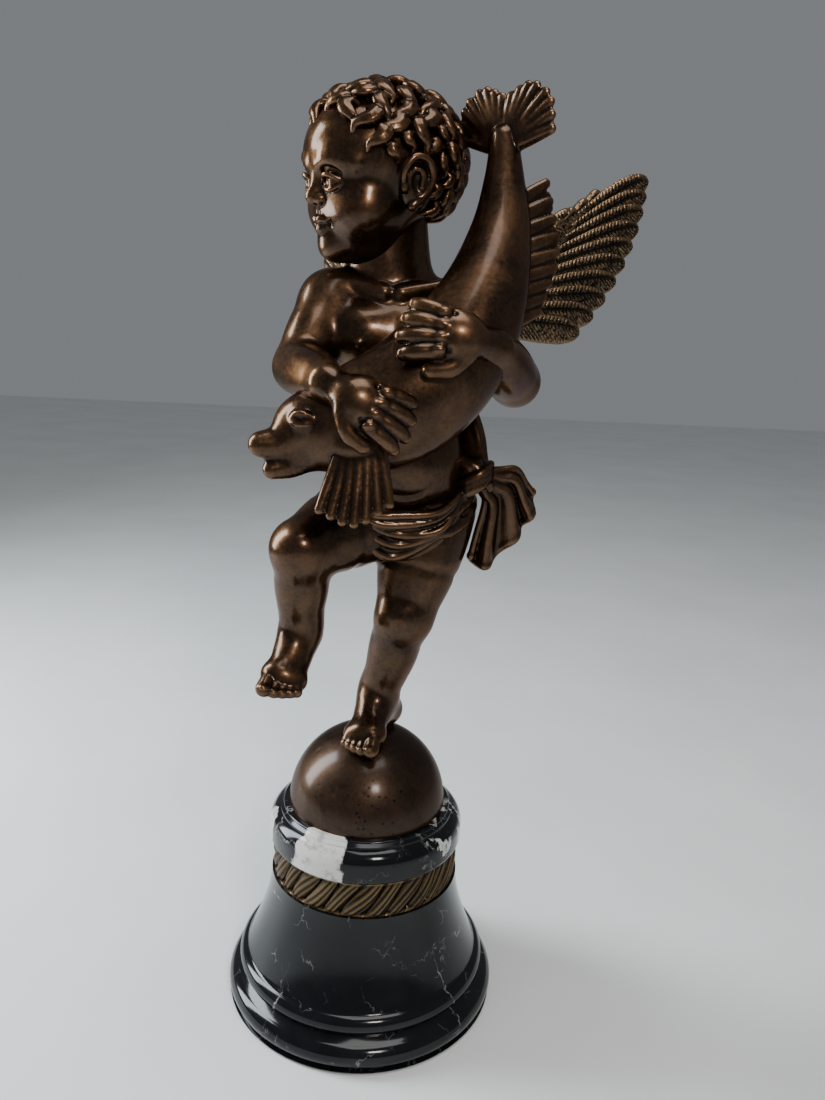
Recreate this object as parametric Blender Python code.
"""Bronze cherub carrying a dolphin, on a bronze dome and a turned marble base.

Metres, +Z up. The origin is the centre of the base's underside, and the front faces -Y.
The figure is built up as a sculptor builds clay: overlapping rounded lumps that a voxel
Remesh turns into one skin. Its places and radii are shares of the figure's height.
"""

import math

import bmesh
import bpy
import numpy as np

# Driving dimensions of the turned base, bottom to top
BASE_RADIUS = 0.0900
BELL_HEIGHT = 0.0890
NECK_RADIUS = 0.0618
SPIGOT_RADIUS = 0.0500
BAND_HEIGHT = 0.0230
BAND_STRANDS = 28
BAND_RELIEF = 0.0012
CAP_RADIUS = 0.0632
CAP_HEIGHT = 0.0250
DOME_RADIUS = 0.0510
SEAT_GAP = 0.0003

# The figure, whose places below are laid out in units of its height over LAYOUT_HEIGHT
FIGURE_HEIGHT = 0.3850
LAYOUT_HEIGHT = 385.0
FIGURE_FACES = 5200
CLAY_VOXEL = 1.6
SMOOTH_ROUNDS = 5

ROUND_STEPS = 40
CAP_Z = BELL_HEIGHT + BAND_HEIGHT + 2 * SEAT_GAP
DOME_Z = CAP_Z + CAP_HEIGHT + SEAT_GAP
SOLE_Z = DOME_Z + DOME_RADIUS

BRONZE = (0.115, 0.062, 0.036)
GILT_BRONZE = (0.20, 0.145, 0.07)
BLACK_MARBLE = (0.018, 0.019, 0.022)

# Joints of the body: x to the figure's left, y backwards, z up from the sole
HIP_L, KNEE_L, ANKLE_L = (33, 4, 144), (19, -10, 80), (5, 6, 18)
HIP_R, KNEE_R, ANKLE_R = (-3, -2, 142), (-42, -42, 128), (-44, -20, 70)
SHOULDER_L, ELBOW_L, WRIST_L = (46, 4, 262), (76, -14, 225), (57, -64, 245)
SHOULDER_R, ELBOW_R, WRIST_R = (-32, 2, 265), (-47, -24, 228), (-28, -76, 224)
NECK, SKULL = (3, 6, 274), (-8, -1, 332)
HEAD_TURN = (-60, 9, 5)

# The dolphin's spine from the brow, low on the right, to the tail above the left shoulder
DOLPHIN_SPINE = [(-38, -58, 195), (-26, -56, 199), (-8, -53, 205), (14, -52, 216), (37, -48, 240),
                 (52, -41, 270), (60, -31, 303), (61, -25, 330), (60, -21, 352)]
DOLPHIN_RADII = [17, 24, 30, 32.5, 30, 23.5, 16.5, 11, 7.5]

WING_ROOTS = (((34, 26, 258), 66), ((-16, 28, 260), -14))


def vec(*numbers):
    return np.array(numbers, float)


def unit(v):
    return v / np.linalg.norm(v)


def turned(yaw, pitch, roll):
    """Rotation matrix whose columns are the turned axes, from degrees."""
    a, b, c = np.radians([yaw, pitch, roll])
    about_z = np.array([[np.cos(a), -np.sin(a), 0], [np.sin(a), np.cos(a), 0], [0, 0, 1]])
    about_x = np.array([[1, 0, 0], [0, np.cos(b), -np.sin(b)], [0, np.sin(b), np.cos(b)]])
    about_y = np.array([[np.cos(c), 0, np.sin(c)], [0, 1, 0], [-np.sin(c), 0, np.cos(c)]])
    return about_z @ about_x @ about_y


def through(points, radii, steps):
    """Points and radii of a smooth curve through the given ones, with steps pieces a span."""
    rows = np.column_stack([np.array(points, float), radii])
    rows = np.vstack([2 * rows[0] - rows[1], rows, 2 * rows[-1] - rows[-2]])
    found = []
    for p0, p1, p2, p3 in zip(rows[:-3], rows[1:-2], rows[2:-1], rows[3:]):
        for t in np.linspace(0, 1, steps, endpoint=False):
            found.append(0.5 * (2 * p1 + (p2 - p0) * t + (2 * p0 - 5 * p1 + 4 * p2 - p3) * t**2
                                + (3 * p1 - p0 - 3 * p2 + p3) * t**3))
    found = np.array([*found, rows[-2]])
    return found[:, :3], found[:, 3]


def clear_scene():
    for obj in list(bpy.data.objects):
        bpy.data.objects.remove(obj)


def material(name, colour, roughness, metallic):
    made = bpy.data.materials.new(name)
    made.use_nodes = True
    shader = made.node_tree.nodes["Principled BSDF"]
    shader.inputs["Base Color"].default_value = (*colour, 1.0)
    shader.inputs["Roughness"].default_value = roughness
    shader.inputs["Metallic"].default_value = metallic
    return made


def linked(mesh, name):
    obj = bpy.data.objects.new(name, mesh)
    bpy.context.scene.collection.objects.link(obj)
    return obj


class Clay:
    """Overlapping rounded lumps, each a ball pulled out between two points."""

    def __init__(self):
        self.points = []
        self.faces = []
        self.count = 0
        self.balls = {fineness: self.ball(fineness) for fineness in (2, 3)}

    def ball(self, fineness):
        bm = bmesh.new()
        bmesh.ops.create_icosphere(bm, subdivisions=fineness, radius=1.0)
        points = np.array([v.co for v in bm.verts])
        faces = np.array([[v.index for v in f.verts] for f in bm.faces])
        bm.free()
        return points, faces

    def lump(self, points, faces):
        self.points.append(points)
        self.faces.append(faces + self.count)
        self.count += len(points)

    def limb(self, a, b, radius_a, radius_b, belly=0.0):
        """A tube with round ends from a to b, swollen in the middle by belly."""
        middle = (vec(*a) + vec(*b)) / 2
        self.chain([a, middle, b], [radius_a, (radius_a + radius_b) / 2 + belly, radius_b])

    def chain(self, points, radii, steps=0, flat=None, thinness=1.0):
        """Tubes through points. flat is an axis along which the section is thinner."""
        points, radii = np.array(points, float), np.array(radii, float)
        if steps:
            points, radii = through(points, radii, steps)
        for a, b, ra, rb in zip(points[:-1], points[1:], radii[:-1], radii[1:]):
            normals, faces = self.balls[3 if max(ra, rb) > 9 else 2]
            far = (normals @ (b - a) > 0)[:, None]
            offset = normals * np.where(far, rb, ra)
            if flat is not None:
                axis = unit(vec(*flat))
                offset = offset - np.outer(offset @ axis, axis) * (1 - 1 / thinness)
            self.lump(np.where(far, b, a) + offset, faces)

    def egg(self, centre, radii, turn=None):
        normals, faces = self.balls[3]
        turn = np.eye(3) if turn is None else turn
        self.lump(vec(*centre) + (normals * vec(*radii)) @ turn.T, faces)

    def mesh(self, name):
        made = bpy.data.meshes.new(name)
        made.from_pydata(np.concatenate(self.points).tolist(), [], np.concatenate(self.faces).tolist())
        return made


def torso(clay):
    clay.egg((15, 3, 152), (39, 31, 29))
    clay.egg((14, -10, 178), (35, 29, 30))
    clay.egg((11, 0, 206), (34, 27, 34))
    clay.egg((6, 2, 240), (37, 28, 33))
    clay.limb((-24, 5, 268), (38, 7, 266), 14.5, 14.5)
    clay.limb((-20, -2, 256), (34, 0, 254), 17, 17)
    for x in (-12, 24):
        clay.egg((x, -15, 247), (18, 13, 17))
    for x, z in ((32, 143), (-1, 139)):
        clay.egg((x, 19, z), (22, 21, 23))
    clay.limb(NECK, vec(*SKULL) + vec(3, 5, -34), 20.5, 19.5)


def foot(clay, ankle, heel, ball, toe_way, side):
    """heel and ball are centres on the sole, toe_way is along the toes, side is 1 on the left."""
    ankle, heel, ball, toe_way = vec(*ankle), vec(*heel), vec(*ball), vec(*toe_way)
    forward = unit(ball - heel)
    up = ankle - (heel + ball) / 2
    up = unit(up - forward * (up @ forward))
    out = np.cross(forward, up) * side
    clay.limb(ankle, heel + up * 1.5, 10, 10)
    clay.limb(heel, ball + out * 4, 9.5, 7.5)
    clay.limb(ankle, ball - out * 3 + up * 2, 10.5, 8.5)
    clay.limb(ankle + up * 8 + forward, (ankle + ball) / 2 + up * 2, 9, 8.5)
    clay.limb(ball - out * 7, ball + out * 7, 7.4, 6.4)
    toes = ((-9.8, 5.0, 12.5), (-3.4, 3.7, 12.5), (1.6, 3.5, 11), (6, 3.3, 9), (10, 3.1, 7))
    for across, radius, length in toes:
        root = ball + out * across * 0.85 + forward * 2
        tip = root + toe_way * length + out * across * 0.12
        clay.chain([root, (root + tip) / 2 + up * 1.4, tip], [radius, radius * 0.9, radius], 3)


def leg(clay, hip, knee, ankle):
    clay.limb(hip, knee, 27.5, 18, 4)
    clay.egg(vec(*knee) + vec(0, -2, 0), (17, 16.5, 15.5))
    clay.limb(knee, ankle, 15.5, 10.3, 3.2)
    clay.egg(vec(*knee) + (vec(*ankle) - vec(*knee)) * 0.36 + vec(0, 4.5, 0), (12.5, 12.5, 19))
    clay.egg(ankle, (11, 11, 8))


def arm(clay, shoulder, elbow, wrist):
    clay.egg(shoulder, (17.5, 16, 16.5))
    clay.limb(shoulder, elbow, 16, 14, 2)
    clay.limb(elbow, wrist, 14.5, 9.2, 2.6)


def hand(clay, wrist, palm, outward, finger_way, thumb_side, curl=0.35):
    """outward points away from what is held, and the fingers bend the other way."""
    wrist, palm = vec(*wrist), vec(*palm)
    outward = unit(vec(*outward))
    along = vec(*finger_way)
    along = unit(along - outward * (along @ outward))
    across = np.cross(outward, along) * thumb_side
    clay.limb(wrist, palm - along * 6, 9.2, 8.6)
    clay.egg(palm, (13.8, 13.8, 8.2), np.column_stack([across, along, outward]))
    for place, length in ((9.6, 18), (3.3, 20.5), (-3, 19), (-9, 15.5)):
        knuckle = palm + across * place + along * 8.5 + outward
        fan = across * place * 0.02
        joints = [knuckle]
        for share, bend in ((0.42, 0.6), (0.33, 1.6), (0.27, 2.6)):
            way = along * math.cos(curl * bend) - outward * math.sin(curl * bend) + fan
            joints.append(joints[-1] + way * length * share)
        clay.chain(joints, [4.7, 4.6, 4.3, 3.9], 3)
    thumb = palm + across * 9 - along * 5
    middle = thumb + across * 7.5 + along * 6 - outward
    clay.chain([thumb, middle, middle + along * 9 + across * 2.5 - outward * 3], [5.8, 5.1, 4.4], 3)


def body(clay):
    torso(clay)
    leg(clay, HIP_L, KNEE_L, ANKLE_L)
    foot(clay, ANKLE_L, (10, 15, 5), (-3, -20, 3), (-0.32, -0.8, -0.42), 1)
    leg(clay, HIP_R, KNEE_R, ANKLE_R)
    foot(clay, ANKLE_R, (-46, -10, 60), (-51, -44, 50), (-0.12, -0.9, -0.42), -1)
    arm(clay, SHOULDER_L, ELBOW_L, WRIST_L)
    hand(clay, WRIST_L, (36, -82, 250), (0.28, -0.93, 0.2), (-1, -0.15, 0.15), 1)
    arm(clay, SHOULDER_R, ELBOW_R, WRIST_R)
    hand(clay, WRIST_R, (-10, -88, 216), (-0.05, -0.93, 0.35), (1, -0.1, -0.45), -1)


def head(clay):
    turn = turned(*HEAD_TURN)

    def egg(x, y, z, radii, tilt=0.0):
        clay.egg(vec(*SKULL) + turn @ vec(x, y, z), radii, turn @ turned(tilt, 0, 0))

    def chain(points, radii):
        clay.chain([vec(*SKULL) + turn @ vec(*p) for p in points], radii, 3)

    egg(0, 5, 8, (36, 42, 36))
    egg(0, -9, 15, (30, 29, 25))
    egg(0, -11, -16, (29, 26, 25))
    egg(0, -14, -33, (20, 18, 11))
    egg(0, -29, -34, (10.5, 9, 8))
    for side in (-1, 1):
        egg(16 * side, -19, -14, (16, 14.5, 15))
        egg(36 * side, 3, -5, (4.5, 8, 12), -25 * side)
        chain([(6 * side, -35.5, 8), (24 * side, -26, 9)], [4, 4])
        egg(4.4 * side, -38, -9, (3.6, 4.2, 3.4))
    chain([(0, -35, 6), (0, -37.4, -1), (0, -40.6, -7)], [3.8, 4, 4.8])
    chain([(-8, -35, -20.5), (0, -38.6, -19.2), (8, -35, -20.5)], [1.8, 2.8, 1.8])
    chain([(-7, -34.5, -22.8), (0, -37.5, -24.8), (7, -34.5, -22.8)], [1.8, 3.3, 1.8])


def hair(clay, locks=96):
    """Curled locks laid over the scalp on a golden-angle spiral from the crown."""
    turn = turned(*HEAD_TURN)
    random = np.random.default_rng(5)
    centre, radii = vec(0, 6, 8), vec(37, 43, 36.5)
    shares = np.linspace(0, 1, 5)
    for i in range(locks):
        height = 1 - 1.55 * (i + 0.5) / locks
        angle = i * math.pi * (3 - math.sqrt(5)) + 0.4
        around = math.sqrt(max(0, 1 - height * height))
        way = vec(around * math.cos(angle), around * math.sin(angle), height)
        brow = -way[1] > 0.40 + 0.6 * max(0, way[2] - 0.25) and way[2] < 0.83
        cheek = way[2] < 0.16 and -way[1] > -0.26
        if brow or cheek:
            continue
        normal = unit(way / radii)
        down = unit(np.cross(normal, np.cross(vec(0, 0.35, 0.95), normal)) * -1)
        sideways = np.cross(normal, down)
        spin, length, bend = random.choice([-1, 1]), random.uniform(13, 17), random.uniform(0.8, 1.5)
        place, joints = centre + radii * way, []
        for share in shares:
            swirl = spin * bend * (share - 0.2) * 2
            joints.append(place)
            place = place + (down * math.cos(swirl) + sideways * math.sin(swirl)) * length / 4
        for j, share in enumerate(shares):
            out = unit((joints[j] - centre) / radii)
            lift = 1 + 3.2 * math.sin(math.pi * min(1, share * 0.9 + 0.1))
            joints[j] = vec(*SKULL) + turn @ (centre + radii * out + unit(out / radii) * lift)
        clay.chain(joints, 5.2 - 2.85 * shares, 2)


def fan(clay, roots, tips, ribs, radius, flat, thinness):
    """A ribbed fin from one curve of roots to one of tips, ribs close enough to join up."""
    roots, tips = np.array(roots, float), np.array(tips, float)
    places = np.linspace(0, 1, ribs)
    along_roots, _ = through(roots, np.ones(len(roots)), 8)
    along_tips, _ = through(tips, np.ones(len(tips)), 8)
    for share in places:
        a = along_roots[round(share * (len(along_roots) - 1))]
        b = along_tips[round(share * (len(along_tips) - 1))]
        clay.chain([a, a + (b - a) * 0.6, b], [radius, radius, radius * 0.7], 2, flat, thinness)


def dolphin(clay):
    clay.chain(DOLPHIN_SPINE, DOLPHIN_RADII, 5)
    clay.egg((-40, -59, 202), (16, 14.5, 13.5))
    clay.chain([(-42, -61, 194), (-52, -66, 188), (-62, -69, 188)], [11.5, 7.5, 4.6], 4)
    clay.chain([(-38, -60, 186), (-47, -65, 178), (-55, -69, 174)], [10.5, 6.5, 4], 4)
    for side in (1, -0.9):
        clay.egg(vec(-34, -57, 206) + vec(-0.28, -0.78, -0.1) * 19 * side, (6, 6, 6))
    back_roots = [(66, -38, 256), (71, -29, 288), (68, -24, 320)]
    back_tips = [(84, -27, 264), (93, -19, 296), (85, -16, 332)]
    fan(clay, back_roots, back_tips, 9, 5, (-0.4, 1, 0), 2)
    breast_roots = [(-20, -76, 188), (-10, -79, 188), (0, -79, 190)]
    breast_tips = [(-30, -86, 160), (-12, -89, 154), (6, -84, 164)]
    fan(clay, breast_roots, breast_tips, 6, 4.2, (0, 1, 0.3), 1.6)
    clay.egg((-10, -77, 191), (13, 7, 7))
    hub, sideways = vec(60, -20, 350), vec(0.75, -0.66, 0)
    outline = ((3, 23), (15, 27), (26, 20), (29, 5))
    for side in (-1, 1):
        tips = [hub + sideways * side * x + vec(0, 0, z) for x, z in outline]
        roots = [hub, hub + sideways * side * 3 - vec(0, 0, 2)]
        fan(clay, roots, tips, 9, 4.6, (0.66, 0.75, 0), 1.7)


def cloth(clay):
    """A band round the hips, swags over the loins, and ends that fall and fly from a knot."""
    angles = np.linspace(0, 2 * math.pi, 25)
    for strand in range(4):
        ring = []
        for a in angles:
            wave = 1.2 * math.sin(5 * a + 2 * strand)
            sag = strand * 5.5 * (0.8 + 0.25 * math.sin(a + 1.2))
            ring.append((15 + 42 * math.cos(a), 3 + 35 * math.sin(a),
                         156 + 7 * math.cos(a - 0.3) + 9 * math.sin(a) - sag + wave))
        clay.chain(ring, [4.4] * len(ring))
    for share in np.linspace(0, 1, 5):
        left, right = vec(50, -18, 158 - 3 * share), vec(-12 - 4 * share, -30, 154 - 5 * share)
        low = vec(14 + 3 * share, -37 + 9 * share, 144 - 22 * share)
        before, after = (left + low) / 2 + vec(3, -6, -5), (right + low) / 2 + vec(-2, -4, -4)
        clay.chain([left, before, low, after, right], [3.7, 4.4, 5.4, 4.6, 3.7], 5)
    clay.egg((57, -10, 170), (12, 12, 11))
    clay.chain([(57, -7, 172), (54, 4, 190), (46, 14, 210), (33, 19, 230)], [11, 9, 8.5, 7], 4)
    ends = ((59, 2, 116), (66, 3, 112), (74, 5, 115), (82, 7, 122), (89, 9, 132), (94, 11, 144),
            (96, 12, 156))
    for end in ends:
        start, end = vec(58, -5, 170), vec(*end)
        middle = (start + end) / 2 + vec(7, 0, 8)
        clay.chain([start, middle, end], [5.5, 6.2, 6.8], 5, (0.3, 1, 0.2), 1.2)


def feather(clay, root, way, normal, length, width, thickness, droop):
    shares = (0, 0.35, 0.7, 0.92, 1)
    points = [root + way * length * s + droop * s * s for s in shares]
    clay.chain(points, [width * k for k in (0.45, 0.85, 1, 0.8, 0.4)], 2, normal, width / thickness)


def wing(clay, root, azimuth):
    """azimuth is where the wing points, seen from above, in degrees from +Y towards +X."""
    root, up = vec(*root), vec(0, 0, 1)
    along = vec(math.sin(math.radians(azimuth)), math.cos(math.radians(azimuth)), 0)
    normal = np.cross(along, up)

    def rise(degrees):
        return along * math.cos(math.radians(degrees)) + up * math.sin(math.radians(degrees))

    bone = [root + along * x + up * z for x, z in ((0, 0), (28, 18), (66, 46), (104, 72))]
    clay.chain(bone, [12, 10.5, 8, 4.5], 4, normal, 1.7)
    for share in np.linspace(0, 1, 10):
        base = root + along * (64 - 48 * share) + up * (42 - 46 * share)
        length = 96 + 36 * share * (1 - share) - 14 * share
        feather(clay, base, rise(36 - 32 * share), normal, length, 9.4, 2.6, up * -6 + normal * 3)
    for share in np.linspace(0, 1, 9):
        base = root + along * (46 - 42 * share) + up * (36 - 40 * share)
        feather(clay, base, rise(38 - 31 * share), normal, 56 - 10 * share, 8, 3.6, up * -3)


def largest_island(mesh):
    """The biggest of a mesh's separate skins as a new bmesh, without sealed pockets of air."""
    bm = bmesh.new()
    bm.from_mesh(mesh)
    bm.faces.ensure_lookup_table()
    seen, islands = set(), []
    for face in bm.faces:
        if face.index in seen:
            continue
        island, edge_of_search = [], [face]
        seen.add(face.index)
        while edge_of_search:
            found = edge_of_search.pop()
            island.append(found)
            for edge in found.edges:
                for neighbour in edge.link_faces:
                    if neighbour.index not in seen:
                        seen.add(neighbour.index)
                        edge_of_search.append(neighbour)
        islands.append(island)
    keep = max(islands, key=len)
    loose = [f for island in islands if island is not keep for f in island]
    bmesh.ops.delete(bm, geom=loose, context="FACES")
    return bm


def dome_cutter():
    """A ball a seat's gap wider than the dome, in figure units, that shapes the sole."""
    bm = bmesh.new()
    radius = (DOME_RADIUS + SEAT_GAP) * LAYOUT_HEIGHT / FIGURE_HEIGHT
    bmesh.ops.create_uvsphere(bm, u_segments=ROUND_STEPS, v_segments=ROUND_STEPS // 2, radius=radius)
    facet = radius / math.cos(math.pi / ROUND_STEPS) ** 2
    bmesh.ops.scale(bm, vec=(facet / radius,) * 3, verts=bm.verts)
    bmesh.ops.translate(bm, vec=(0, 0, -DOME_RADIUS * LAYOUT_HEIGHT / FIGURE_HEIGHT), verts=bm.verts)
    mesh = bpy.data.meshes.new("sole_cutter")
    bm.to_mesh(mesh)
    bm.free()
    cutter = linked(mesh, "sole_cutter")
    cutter.hide_render = True
    cutter.display_type = "WIRE"
    return cutter


def figure(name, finish):
    """The casting: cherub, dolphin, cloth and wings in one skin."""
    clay = Clay()
    body(clay)
    head(clay)
    hair(clay)
    dolphin(clay)
    cloth(clay)
    for root, azimuth in WING_ROOTS:
        wing(clay, root, azimuth)
    rough = linked(clay.mesh(name + "_clay"), name + "_clay")
    remesh = rough.modifiers.new("skin", "REMESH")
    remesh.mode = "VOXEL"
    remesh.voxel_size = CLAY_VOXEL
    smooth = rough.modifiers.new("soften", "SMOOTH")
    smooth.factor = 0.5
    smooth.iterations = round(SMOOTH_ROUNDS)
    evaluated = rough.evaluated_get(bpy.context.evaluated_depsgraph_get())
    skin = bpy.data.meshes.new_from_object(evaluated)
    bpy.data.objects.remove(rough)
    bm = largest_island(skin)
    bmesh.ops.triangulate(bm, faces=bm.faces)
    mesh = bpy.data.meshes.new(name)
    bm.to_mesh(mesh)
    count = len(bm.faces)
    bm.free()
    mesh.materials.append(finish)
    obj = linked(mesh, name)
    thin = obj.modifiers.new("fewer_faces", "DECIMATE")
    thin.ratio = FIGURE_FACES / count
    sole = obj.modifiers.new("sole", "BOOLEAN")
    sole.operation = "DIFFERENCE"
    sole.object = dome_cutter()
    scale = FIGURE_HEIGHT / LAYOUT_HEIGHT
    for placed in (obj, sole.object):
        placed.scale = (scale,) * 3
        placed.location = (0, 0, SOLE_Z)
    return obj


def arc(centre_r, centre_z, radius, start, end, steps):
    """Profile points on a circle, from the start angle to the end angle in degrees."""
    angles = np.radians(np.linspace(start, end, steps))
    return [(centre_r + radius * math.cos(a), centre_z + radius * math.sin(a)) for a in angles]


def lathe(name, profile, finish, steps=ROUND_STEPS):
    """A solid of revolution from a profile of (radius, height) that starts and ends on the axis."""
    bm = bmesh.new()
    verts = [bm.verts.new((r, 0, z)) for r, z in profile]
    edges = [bm.edges.new(pair) for pair in zip(verts[:-1], verts[1:])]
    bmesh.ops.spin(bm, geom=verts + edges, cent=(0, 0, 0), axis=(0, 0, 1), angle=2 * math.pi,
                   steps=steps, use_merge=True)
    bmesh.ops.remove_doubles(bm, verts=bm.verts, dist=1e-6)
    bmesh.ops.recalc_face_normals(bm, faces=bm.faces)
    mesh = bpy.data.meshes.new(name)
    bm.to_mesh(mesh)
    bm.free()
    mesh.materials.append(finish)
    mesh.shade_smooth()
    mesh.set_sharp_from_angle(angle=math.radians(35))
    return linked(mesh, name)


def marble_base(finish):
    """Bell with two rounded mouldings at its foot and a spigot that carries the band and the cap."""
    lower = BASE_RADIUS * 0.094
    upper = BASE_RADIUS * 0.078
    lower_z = lower * 1.1
    upper_r = BASE_RADIUS * 0.92
    upper_z = lower_z + lower * 0.94 + upper * 1.25
    bell_foot_r, bell_foot_z = upper_r - upper * 0.8, upper_z + upper * 1.1
    profile = [(0, 0), (BASE_RADIUS * 0.98, 0), (BASE_RADIUS * 0.994, lower * 0.2)]
    profile += arc(BASE_RADIUS - lower, lower_z, lower, -50, 70, 6)
    profile += arc(upper_r - upper, upper_z, upper, -50, 70, 5)
    flare = bell_foot_r - NECK_RADIUS
    rise = BELL_HEIGHT - bell_foot_z
    for t in np.linspace(0, 1, 8):
        profile.append((NECK_RADIUS + flare * (1 - t) ** 1.7, bell_foot_z + rise * t))
    spigot_top = BELL_HEIGHT + BAND_HEIGHT + SEAT_GAP
    profile += [(SPIGOT_RADIUS, BELL_HEIGHT), (SPIGOT_RADIUS, spigot_top), (0, spigot_top)]
    return lathe("marble_base", profile, finish)


def marble_cap(finish):
    """Cushion-edged disc with a shallow step round the dome's seat."""
    edge = CAP_HEIGHT * 0.42
    fillet = CAP_HEIGHT * 0.12
    top = CAP_Z + CAP_HEIGHT
    profile = [(0, CAP_Z), (CAP_RADIUS - fillet, CAP_Z)]
    profile += arc(CAP_RADIUS - fillet, CAP_Z + fillet, fillet, -60, 0, 2)
    profile += arc(CAP_RADIUS - edge, top - fillet - edge, edge, 0, 62, 5)
    profile += [(CAP_RADIUS - edge * 0.62, top - fillet), (CAP_RADIUS - edge * 0.8, top), (0, top)]
    return lathe("marble_cap", profile, finish)


def rope_band(finish):
    """Ring of slanting strands: its outer face is a twisted rope, cut flat above, below and inside."""
    rows, columns = 3, BAND_STRANDS * 4
    low, high = BELL_HEIGHT + SEAT_GAP, BELL_HEIGHT + SEAT_GAP + BAND_HEIGHT - SEAT_GAP
    inner = SPIGOT_RADIUS + SEAT_GAP * 4
    bm = bmesh.new()
    rings = []
    for row in range(rows):
        share = row / (rows - 1)
        bulge = BAND_RELIEF * math.sin(math.pi * share)
        ring = []
        for column in range(columns):
            angle = 2 * math.pi * column / columns
            strand = abs(math.sin(angle * BAND_STRANDS / 2 - share * 3.4))
            radius = NECK_RADIUS - 2 * BAND_RELIEF + bulge + BAND_RELIEF * strand
            place = (radius * math.cos(angle), radius * math.sin(angle), low + (high - low) * share)
            ring.append(bm.verts.new(place))
        rings.append(ring)
    for z in (high, low):
        angles = [2 * math.pi * c / columns for c in range(columns)]
        rings.append([bm.verts.new((inner * math.cos(a), inner * math.sin(a), z)) for a in angles])
    for lower, upper in zip(rings, rings[1:] + rings[:1]):
        for c in range(columns):
            n = (c + 1) % columns
            bm.faces.new((lower[c], lower[n], upper[n], upper[c]))
    bmesh.ops.recalc_face_normals(bm, faces=bm.faces)
    mesh = bpy.data.meshes.new("rope_band")
    bm.to_mesh(mesh)
    bm.free()
    mesh.materials.append(finish)
    return linked(mesh, "rope_band")


def bronze_dome(finish):
    profile = [(0, DOME_Z)] + arc(0, DOME_Z, DOME_RADIUS, 0, 90, 11)[:-1] + [(0, DOME_Z + DOME_RADIUS)]
    return lathe("bronze_dome", profile, finish)


def main():
    clear_scene()
    bronze = material("bronze", BRONZE, 0.32, 1.0)
    gilt = material("gilt_bronze", GILT_BRONZE, 0.42, 1.0)
    marble = material("black_marble", BLACK_MARBLE, 0.12, 0.0)
    marble_base(marble)
    rope_band(gilt)
    marble_cap(marble)
    bronze_dome(bronze)
    figure("cherub_with_dolphin", bronze)


main()
